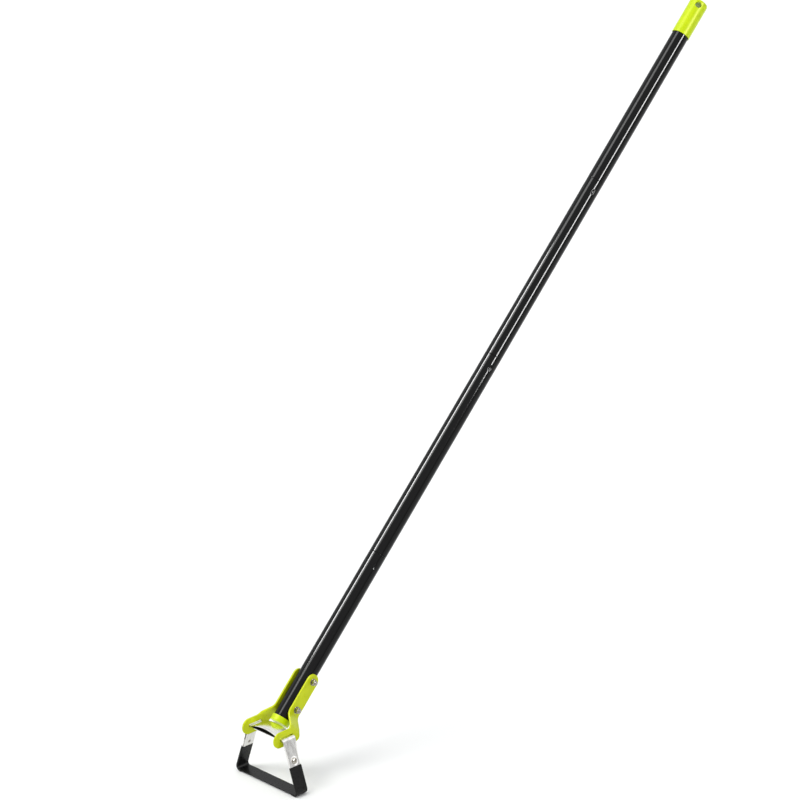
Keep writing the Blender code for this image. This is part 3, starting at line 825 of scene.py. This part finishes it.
def threaded_rod(name, radius, low, high, pitch, plain_below, segments=BORE_SEGMENTS):
    """A rod along Z with a helical thread down to plain_below, and a chamfered tip."""
    depth = pitch * THREAD_DEPTH
    chamfer = depth * THREAD_TIP
    count = math.ceil((high - plain_below) / (pitch / THREAD_ROWS))
    heights = [low] + [plain_below + (high - plain_below) * i / count for i in range(count + 1)]
    rows = [[(0, 0, low)] * segments]
    for height in heights:
        row = []
        for i in range(segments):
            angle = 2 * math.pi * i / segments
            phase = (height / pitch - i / segments) % 1
            ridge = abs(2 * phase - 1)
            fade = eased(plain_below, plain_below + pitch, height)
            reach = radius - depth * ridge * fade
            reach = min(reach, radius - chamfer + (high - height))
            row.append((reach * math.cos(angle), reach * math.sin(angle), height))
        rows.append(row)
    rows.append([(0, 0, high)] * segments)
    shape = bmesh.new()
    skin(shape, rows, closed_across=True)
    return finished_mesh(name, shape)


def hex_block(name, low, high, chamfer_low, chamfer_high):
    """A hexagonal prism with the 30 degree chamfers that a nut or bolt head has."""
    block = new_object(name, prism_mesh(name, 6, HEX_ACROSS, low, high))
    rim = HEX_ACROSS / 2 * HEX_CHAMFER_FROM
    corner = HEX_ACROSS / 2 / math.cos(math.pi / 6) * HEX_CHAMFER_TO
    drop = (corner - rim) * math.tan(HEX_CHAMFER)
    bottom = [(rim, low), (corner, low + drop)] if chamfer_low else [(corner, low)]
    top = [(corner, high - drop), (rim, high)] if chamfer_high else [(corner, high)]
    cone = turned_mesh("cone", [(0, low), *bottom, *top, (0, high)], segments=HEAD_SEGMENTS)
    combine(block, cone, operation="INTERSECT")
    return block


def build_bolt(which):
    """A hexagon-head bolt, with its head on the left and its thread on the right."""
    node = f"bracket_bolt_{which}"
    low, high = box(node)
    under_head = box(f"bracket_washer_{which}_left")[0].x - BOLT_HEAD_GAP
    bolt = hex_block(f"{node}_head", low.x, under_head, True, False)
    rod = threaded_rod(
        "rod", BOLT_RADIUS, under_head - ROD_OVERLAP, high.x, BOLT_PITCH, BOLT_THREAD_FROM
    )
    combine(bolt, rod, operation="UNION")
    put(bolt, across_pole(centre(node)))
    bolt.name = f"{node}_steel"
    soften(bolt, HEX_EDGE)
    stand_for(bolt, node)


def build_nut(which):
    """A nut with a bore that opens out at both faces."""
    node = f"bracket_nut_{which}"
    low, high = box(node)
    nut = hex_block(f"{node}_steel", low.x, high.x, True, True)
    bore = BOLT_RADIUS + NUT_BORE_GAP
    mouth = bore + NUT_MOUTH
    wide = mouth + NUT_DRILL_BEYOND
    start, end = low.x - NUT_DRILL_BEYOND, high.x + NUT_DRILL_BEYOND
    first_half = [(0, start), (wide, start), (mouth, low.x), (bore, low.x + NUT_MOUTH)]
    second_half = [(bore, high.x - NUT_MOUTH), (mouth, high.x), (wide, end), (0, end)]
    combine(nut, turned_mesh("drill", first_half + second_half, segments=BORE_SEGMENTS))
    put(nut, across_pole(centre(node)))
    soften(nut, HEX_EDGE)
    stand_for(nut, node)


def build_washer(which, side):
    """A flat washer with rounded edges."""
    node = f"bracket_washer_{which}_{side}"
    low, high = box(node)
    outer = (high.z - low.z) / 2
    inner = BOLT_HOLE_RADIUS
    corners = [(outer, low.x), (outer, high.x), (inner, high.x), (inner, low.x)]
    profile = rounded_outline([(radius, height, WASHER_EDGE) for radius, height in corners])
    mesh = turned_mesh(f"{node}_steel", profile, closed=True, segments=SMALL_SEGMENTS)
    stand_for(new_object(f"{node}_steel", mesh, across_pole(centre(node))), node)


# ---------------------------------------------------------------- the stirrup

# Heights are over the ground, and X and half widths are from the middle of the tool.
LEG_FLARE = math.radians(19.5)
LEG_FOOT_HALF_WIDTH = 0.0723
BAND_THICKNESS = 0.0012
BAND_HALF_WIDTH = 0.0127
BAND_END = 0.0468
BAND_EDGE = 0.00028
ARCH_TOP = 0.0950
ARCH_CORNER_X = 0.0152
ARCH_RADIUS = 0.0780
ARCH_SPRING_X = 0.0320
ARCH_SPRING_RADIUS = 0.0050
OUTER_BEND_RADIUS = 0.0050
INNER_BEND_RADIUS = 0.0020
INNER_LEG_HALF_WIDTH = 0.0098
INNER_STEPS = 8
OUTER_SPACING = 0.0011
INNER_SPACING = 0.0015
TONGUE_THICKNESS = 0.0018
TONGUE_HALF_WIDTH = 0.0086
TONGUE_TOP = 0.0745
TONGUE_FOOT_ROUNDING = 0.0004
TONGUE_TOP_ROUNDING = 0.0040
TONGUE_EDGE = 0.0003
# How far in from the stirrup's outer face the middle of each layer is.
OUTER_DEPTH = BAND_THICKNESS / 2
TONGUE_DEPTH = BAND_THICKNESS + GAP + TONGUE_THICKNESS / 2
INNER_DEPTH = 2 * TONGUE_DEPTH - OUTER_DEPTH
SWING_Z = JOINTS["blade_swing"]["pos_m"][2] - GROUND.z
OUTER_BAND_Z = SWING_Z + GAP / 2 + BAND_THICKNESS / 2
INNER_BAND_Z = SWING_Z - GAP / 2 - BAND_THICKNESS / 2
NARROW_FROM = 0.0870
NARROW_TO = 0.0790
ROLL_FROM = 0.0830
ROLL_TO = 0.0555
ROLL_FLAT_HALF = 0.0078
ROLL_FLAT_STEPS = 8
ROLL_EDGE_AT_SLOT = BAND_HALF_WIDTH - ROLL_FLAT_HALF
ROLL_EDGE_AT_END = 0.0041
ROLL_ANGLE = math.radians(88)
ROLL_STEPS = 10
# An edge that turns less than this is flat.
SMALLEST_TURN = 0.001
SCREW_Z = 0.0543
SCREW_RADIUS = 0.0022
SCREW_DRILL_REACH = 0.0100
DISH_RADIUS = 0.0080
DISH_FLOOR_RADIUS = 0.0040
DISH_DEPTH = 0.0005
TONGUE_HOLE_RADIUS = DISH_RADIUS * 0.8
# A face looks at the other band, and gets the painted shade, if its normal points up, or down, by more than this.
GAP_SHADE_FACING = 0.8


def leg_point(height, depth):
    """(x, z) on the right leg, this far in from its outer face and level with this height."""
    return Vector(
        (LEG_FOOT_HALF_WIDTH - height * math.tan(LEG_FLARE) - depth / math.cos(LEG_FLARE), height)
    )


def leg_end(height, depth):
    """(x, z) where a cut square across the leg, at this height on its outer face, meets a depth."""
    return leg_point(height, 0) - depth * Vector((math.cos(LEG_FLARE), math.sin(LEG_FLARE)))


def whole_path(half):
    """A path from the left end to the right end, from its half that starts at X = 0."""
    return [Vector((-point.x, point.y)) for point in reversed(half[1:])] + half


def right_hand_normals(path):
    """Normals to the right of the way that a path runs."""
    normals = []
    for i in range(len(path)):
        tangent = path[min(i + 1, len(path) - 1)] - path[max(i - 1, 0)]
        normals.append(Vector((tangent.y, -tangent.x)).normalized())
    return normals


def strap_rows(path, section, inwards=1):
    """Rows of points across a strap. section(point) gives (y, how far in from the path) pairs.

    inwards is 1 for a path that runs over the stirrup's top and -1 for one along its bottom.
    """
    rows = []
    for point, normal in zip(path, right_hand_normals(path)):
        row = []
        for y, depth in section(point):
            x, z = point + inwards * normal * depth
            row.append((x, y, z))
        rows.append(row)
    return rows


def dish(point, y):
    """How far the outer band is pressed in round the screw's head."""
    at = leg_point(SCREW_Z, OUTER_DEPTH)
    off = math.hypot((Vector((abs(point.x), point.y)) - at).length, y)
    return DISH_DEPTH * (1 - eased(DISH_FLOOR_RADIUS, DISH_RADIUS, off)) if point.y < ROLL_FROM else 0


def outer_section(point):
    """Flat in the middle, with edges that roll inwards down the leg."""
    roll = eased(ROLL_FROM, ROLL_TO, point.y)
    edge = ROLL_EDGE_AT_SLOT + roll * (ROLL_EDGE_AT_END - ROLL_EDGE_AT_SLOT)
    half = [(ROLL_FLAT_HALF * i / ROLL_FLAT_STEPS, 0) for i in range(ROLL_FLAT_STEPS + 1)]
    for i in range(1, ROLL_STEPS + 1):
        turned = ROLL_ANGLE * roll * i / ROLL_STEPS
        if turned > SMALLEST_TURN:
            radius = edge / (ROLL_ANGLE * roll)
            out, down = radius * math.sin(turned), radius * (1 - math.cos(turned))
        else:
            out, down = edge * i / ROLL_STEPS, 0
        half.append((ROLL_FLAT_HALF + out, down))
    row = [(-y, depth) for y, depth in reversed(half[1:])] + half
    return [(y, depth + dish(point, y)) for y, depth in row]


def inner_section(point):
    """Flat, and narrower down the leg."""
    half = BAND_HALF_WIDTH
    half += eased(NARROW_FROM, NARROW_TO, point.y) * (INNER_LEG_HALF_WIDTH - BAND_HALF_WIDTH)
    return [(half * (2 * i / INNER_STEPS - 1), 0) for i in range(INNER_STEPS + 1)]


def screw_place(sign):
    """Places Z out of the leg's outer face, at the screw."""
    x, z = leg_point(SCREW_Z, 0)
    turn = Matrix.Rotation(sign * (math.pi / 2 - LEG_FLARE), 4, "Y")
    return Matrix.Translation((sign * x, 0, z)) @ turn


def paint_gap_shade(band, facing):
    """Paints the shade in the gap: gives the near-black steel to the faces between the side plates that look at
    the other band.
    """
    band.data.materials.append(SHADE_BETWEEN_BANDS)
    for polygon in band.data.polygons:
        if abs(polygon.center.x) < PLATE_X_AT_HEAD and polygon.normal.z * facing > GAP_SHADE_FACING:
            polygon.material_index = 1


def build_band(node, half_path, section, spacing, facing):
    """A bent strap, drilled for the screws. facing is 1 if the other band is over it, or else -1."""
    path = whole_path(with_stations(half_path, spacing))
    band = new_object(f"{node}_strip", grid_mesh(node, strap_rows(path, section)))
    thicken = band.modifiers.new("thickness", "SOLIDIFY")
    thicken.thickness = BAND_THICKNESS
    thicken.offset = 0
    thicken.use_even_offset = True
    apply_modifiers(band)
    for sign in SIDES.values():
        drill = drill_mesh(SCREW_RADIUS + GAP, SCREW_DRILL_REACH, BORE_SEGMENTS)
        combine(band, drill, screw_place(sign))
    soften(band, BAND_EDGE, 3, STRIP_EDGE_ANGLE)
    stand_for(band, node)
    # Painted shade on the faces that look into the gap between the bands.
    paint_gap_shade(band, facing)


def build_bands():
    """The outer band, with its arch, and the flat inner band under it."""
    outer_corner = leg_point(OUTER_BAND_Z, OUTER_DEPTH).x
    inner_corner = leg_point(INNER_BAND_Z, INNER_DEPTH).x
    outer = rounded_path(
        (0, ARCH_TOP),
        [
            (ARCH_CORNER_X, ARCH_TOP, ARCH_RADIUS),
            (ARCH_SPRING_X, OUTER_BAND_Z, ARCH_SPRING_RADIUS),
            (outer_corner, OUTER_BAND_Z, OUTER_BEND_RADIUS),
        ],
        leg_end(BAND_END, OUTER_DEPTH),
    )
    inner = rounded_path(
        (0, INNER_BAND_Z),
        [(inner_corner, INNER_BAND_Z, INNER_BEND_RADIUS)],
        leg_end(BAND_END, INNER_DEPTH),
    )
    build_band("band_outer", outer, outer_section, OUTER_SPACING, -1)
    build_band("band_inner", inner, inner_section, INNER_SPACING, 1)


BLADE_THICKNESS = 0.0036
BLADE_HALF_WIDTH = 0.0115
BLADE_CORNER_RADIUS = 0.0064
BLADE_INSET = 0.0002
BLADE_DEPTH = BLADE_INSET + BLADE_THICKNESS / 2
BLADE_SPACING = 0.0016
BLADE_ROUNDING = 0.0009
GROUND_EDGE_ROUNDING = 0.00025
GROUND_RIDGE_ROUNDING = 0.0002
GRIND_WIDTH = 0.0065
GRIND_HEIGHT = 0.0027
# The grind fades in between these distances from the middle, and these heights.
GRIND_FROM = 0.0615
GRIND_TO = 0.0530
GRIND_FROM_Z = 0.0150
GRIND_TO_Z = 0.0070
LEG_TOP_ROUNDING = 0.0030
# The most of an edge's length that the rounding at one of its corners takes.
CORNER_SHARE = 0.45


def blade_section(point):
    """Round-edged strip on the legs. On the bar, its outer face is ground to two thin edges."""
    grind = eased(GRIND_FROM, GRIND_TO, abs(point.x)) * eased(GRIND_FROM_Z, GRIND_TO_Z, point.y)
    half = BLADE_THICKNESS / 2
    up_round = max(LEG_TOP_ROUNDING - (BAND_END - point.y), 0)
    narrower = LEG_TOP_ROUNDING - math.sqrt(max(LEG_TOP_ROUNDING**2 - up_round**2, 0))
    width = BLADE_HALF_WIDTH - narrower
    outer_edge = -half + grind * GRIND_HEIGHT
    rounding = BLADE_ROUNDING * (1 - grind) + GROUND_EDGE_ROUNDING * grind
    rounding = min(rounding, (half - outer_edge) * CORNER_SHARE)
    corners = [
        (-width, half, rounding),
        (width, half, rounding),
        (width, outer_edge, rounding),
        (width - GRIND_WIDTH, -half, GROUND_RIDGE_ROUNDING),
        (-width + GRIND_WIDTH, -half, GROUND_RIDGE_ROUNDING),
        (-width, outer_edge, rounding),
    ]
    return blade_loop(corners)


def blade_loop(corners, steps=4):
    """The closed outline through the corners, with the same number of points at any rounding."""
    marks = [Vector(corner[:2]) for corner in corners]
    points = []
    for i, corner in enumerate(corners):
        before, at, after = marks[i - 1], marks[i], marks[(i + 1) % len(marks)]
        reach = min(corner[2], *((other - at).length * CORNER_SHARE for other in (before, after)))
        start = at + (before - at).normalized() * reach
        end = at + (after - at).normalized() * reach
        for j in range(steps + 1):
            t = j / steps
            points.append(start * (1 - t) ** 2 + at * 2 * t * (1 - t) + end * t * t)
    return [tuple(point) for point in points]


def build_blade():
    """The bent blade, whose path runs along the bottom, and its two tongues."""
    bar_z = BLADE_THICKNESS / 2
    corner_x = leg_point(bar_z, BLADE_DEPTH).x
    corner = (corner_x, bar_z, BLADE_CORNER_RADIUS)
    half = rounded_path((0, bar_z), [corner], leg_end(BAND_END - GAP, BLADE_DEPTH))
    rows = strap_rows(whole_path(with_stations(half, BLADE_SPACING)), blade_section, inwards=-1)
    blade = new_object("blade_strip", grid_mesh("blade_strip", rows, closed_across=True))
    stand_for(blade, "blade")
    for label, sign in SIDES.items():
        build_tongue(label, sign)


def build_tongue(label, sign):
    """The thin upper end of a blade's leg, which the two bands hold between them."""
    name = f"blade_tongue_{label}"
    low = leg_point(BAND_END, TONGUE_DEPTH)
    high = leg_point(TONGUE_TOP, TONGUE_DEPTH)
    length = (high - low).length
    foot = [(side * TONGUE_HALF_WIDTH, 0, TONGUE_FOOT_ROUNDING) for side in (-1, 1)]
    top = [(side * TONGUE_HALF_WIDTH, length, TONGUE_TOP_ROUNDING) for side in (1, -1)]
    along = length * (SCREW_Z - BAND_END) / (TONGUE_TOP - BAND_END)
    hole = circle(Vector((0, along)), TONGUE_HOLE_RADIUS)
    tongue = flat_solid(name, [rounded_outline(foot + top), hole], TONGUE_THICKNESS, TONGUE_EDGE)
    up = Vector((sign * (high.x - low.x), 0, high.y - low.y)).normalized()
    across = Vector((0, 1, 0))
    place = Matrix((across, up, across.cross(up))).transposed().to_4x4()
    place.translation = (sign * low.x, 0, low.y)
    stand_for(new_object(name, tongue, place), "blade")


SCREW_HEAD_RADIUS = 0.0047
SCREW_HEAD_HEIGHT = 0.0022
SCREW_HEAD_WALL = 0.25
SCREW_HEAD_STEPS = 14
SCREW_HEAD_CHAMFER = 0.0002
SCREW_SEAT_GAP = 0.00008
SCREW_EDGE = 0.00015
SCREW_PITCH = 0.0007
SCREW_TIP_BEYOND = 0.0008
RECESS_LENGTH = 0.0052
RECESS_WIDTH = 0.0013
RECESS_DEPTH = 0.0016
RECESS_ABOVE = 0.0002
# The bottom's share of the recess's length and width.
RECESS_TAPER = (0.45, 0.70)


def build_screw(label, sign):
    """A pan-head screw with a cross recess and a threaded shank."""
    node = f"blade_screw_{label}"
    seat = -DISH_DEPTH + SCREW_SEAT_GAP
    head = turned_mesh(node, screw_head_profile(seat), segments=HEAD_SEGMENTS)
    screw = new_object(f"{node}_head", head)
    for turn in (math.pi / 4, 3 * math.pi / 4):
        combine(screw, recess_mesh(seat + SCREW_HEAD_HEIGHT), Matrix.Rotation(turn, 4, "Z"))
    tip = 2 * TONGUE_DEPTH + SCREW_TIP_BEYOND
    rod = threaded_rod("rod", SCREW_RADIUS, -ROD_OVERLAP, tip, SCREW_PITCH, 0)
    combine(screw, rod, Matrix.Rotation(math.pi, 4, "X"), operation="UNION")
    screw.name = f"{node}_steel"
    put(screw, screw_place(sign))
    soften(screw, SCREW_EDGE)
    stand_for(screw, node)


def screw_head_profile(seat):
    """A dome over a low wall, with its underside from this height down to the middle."""
    profile = []
    for i in range(SCREW_HEAD_STEPS + 1):
        angle = math.pi / 2 * i / SCREW_HEAD_STEPS
        rise = SCREW_HEAD_WALL + (1 - SCREW_HEAD_WALL) * math.cos(angle)
        profile.append((SCREW_HEAD_RADIUS * math.sin(angle), seat + SCREW_HEAD_HEIGHT * rise))
    profile += [
        (SCREW_HEAD_RADIUS, seat + SCREW_HEAD_CHAMFER),
        (SCREW_HEAD_RADIUS - SCREW_HEAD_CHAMFER, seat),
        (0, seat - SCREW_HEAD_CHAMFER / 2),
    ]
    return profile


def recess_mesh(top):
    """One slot of the recess, which narrows towards its bottom."""
    shape = bmesh.new()
    bmesh.ops.create_cube(shape, size=1.0)
    for vertex in shape.verts:
        upper = vertex.co.z > 0
        vertex.co.x *= RECESS_LENGTH * (1 if upper else RECESS_TAPER[0])
        vertex.co.y *= RECESS_WIDTH * (1 if upper else RECESS_TAPER[1])
        vertex.co.z = top + RECESS_ABOVE if upper else top - RECESS_DEPTH
    return finished_mesh("recess", shape)


def finish_cad_steel():
    """The studs and sockets show as their CAD nodes, which only need their material."""
    for name, obj in frame["nodes"].items():
        if SLOT_OF[name] == "turned_steel":
            obj.data.materials.clear()
            obj.data.materials.append(MATERIALS["turned_steel"])


# ---------------------------------------------------------------- stage

CAMERA_TARGET = Vector((0.0104, 0.2748, 0.5560))
CAMERA_AZIMUTH = math.radians(45.3)
CAMERA_ELEVATION = math.radians(20.6)
CAMERA_ROLL = math.radians(-0.5)
CAMERA_DISTANCE = 5.059
CAMERA_LENS = 148.5
CAMERA_SENSOR = 36
CAMERA_SEES_TO = 200
FLOOR_SIZE = 60.0
WORLD_COLOUR = (0.97, 0.985, 1.0)
WORLD_STRENGTH = 0.98
HORIZON_SHADE = 0.42
HORIZON_HEIGHT = 0.34
STRIP_DISTANCE = 2.4
STRIP_WIDTH = 0.46
STRIP_RADIANCE = 62
# The way from the pole to each strip light, and the stretch of the pole that it runs along.
STRIPS = {
    "left_strip": ((-0.4226, -0.6409, 0.6409), 0.15, 1.25),
    "right_strip": ((0.9857, -0.1191, 0.1191), 0.90, 2.05),
}
SUN_TOWARDS = (-0.35, -0.75, 1.30)
SUN_STRENGTH = 1.3
SUN_ANGLE = math.radians(25)


def build_camera():
    """A camera that looks at its target from this azimuth and elevation, and then rolls."""
    back = Vector(
        (
            math.sin(CAMERA_AZIMUTH) * math.cos(CAMERA_ELEVATION),
            -math.cos(CAMERA_AZIMUTH) * math.cos(CAMERA_ELEVATION),
            math.sin(CAMERA_ELEVATION),
        )
    )
    right = (-back).cross(Vector((0, 0, 1))).normalized()
    up = back.cross(right)
    rolled_right = math.cos(CAMERA_ROLL) * right + math.sin(CAMERA_ROLL) * up
    rolled_up = back.cross(rolled_right)
    place = Matrix((rolled_right, rolled_up, back)).transposed().to_4x4()
    place.translation = CAMERA_TARGET + CAMERA_DISTANCE * back
    camera = new_object("camera", bpy.data.cameras.new("camera"), place)
    camera.data.sensor_width = CAMERA_SENSOR
    camera.data.lens = CAMERA_LENS
    camera.data.clip_end = CAMERA_SEES_TO
    bpy.context.scene.camera = camera


def build_floor():
    """A pale, matt floor, level with the ground under the blade."""
    shape = bmesh.new()
    bmesh.ops.create_grid(shape, x_segments=1, y_segments=1, size=FLOOR_SIZE / 2)
    floor = new_object("studio_floor", finished_mesh("studio_floor", shape))
    material, _, _ = new_material(
        "pale_floor", Base_Color=(0.86, 0.86, 0.85, 1), Roughness=0.9, Specular_IOR_Level=0.1
    )
    floor.data.materials.append(material)


def build_strip_light(name, towards, low, high):
    """A strip along the pole that only shows in reflections, over this stretch of the pole."""
    up = POLE.col[2].to_3d()
    back = (Vector(towards) - up * up.dot(Vector(towards))).normalized()
    data = bpy.data.lights.new(name, "AREA")
    data.shape = "RECTANGLE"
    data.size = STRIP_WIDTH
    data.size_y = high - low
    data.energy = STRIP_RADIANCE * math.pi * STRIP_WIDTH * (high - low)
    place = Matrix((up.cross(back), up, back)).transposed().to_4x4()
    place.translation = POLE.translation + up * (low + high) / 2 + back * STRIP_DISTANCE
    light = new_object(name, data, place)
    light.visible_camera = False
    light.visible_diffuse = False


def build_sun():
    """A broad, soft key light."""
    place = Vector(SUN_TOWARDS).to_track_quat("Z", "Y").to_matrix().to_4x4()
    sun = new_object("key_sun", bpy.data.lights.new("key_sun", "SUN"), place)
    sun.data.energy = SUN_STRENGTH
    sun.data.angle = SUN_ANGLE


def build_world():
    """A pale studio that is shaded near the horizon."""
    world = bpy.data.worlds.new("studio")
    world.use_nodes = True
    tree = world.node_tree
    background = tree.nodes["Background"]
    background.inputs["Color"].default_value = (*WORLD_COLOUR, 1)
    direction = node_of(tree, "ShaderNodeTexCoord").outputs["Generated"]
    height = node_of(tree, "ShaderNodeSeparateXYZ", {"Vector": direction}).outputs["Z"]
    strength = remapped(tree, height, HORIZON_SHADE * WORLD_STRENGTH, WORLD_STRENGTH, 0, HORIZON_HEIGHT)
    tree.links.new(strength, background.inputs["Strength"])
    bpy.context.scene.world = world
    bpy.context.scene.view_settings.view_transform = "Standard"


# ---------------------------------------------------------------- making it all

for number in (1, 2, 3, 4):
    build_tube(number)
build_collar()
build_cap()
for label, sign in SIDES.items():
    build_plate(label, sign)
    build_screw(label, sign)
for which in BOLTS:
    build_bolt(which)
    build_nut(which)
    for side in SIDES:
        build_washer(which, side)
build_bands()
build_blade()
finish_cad_steel()
build_camera()
build_floor()
for name, (towards, low, high) in STRIPS.items():
    build_strip_light(name, towards, low, high)
build_sun()
build_world()
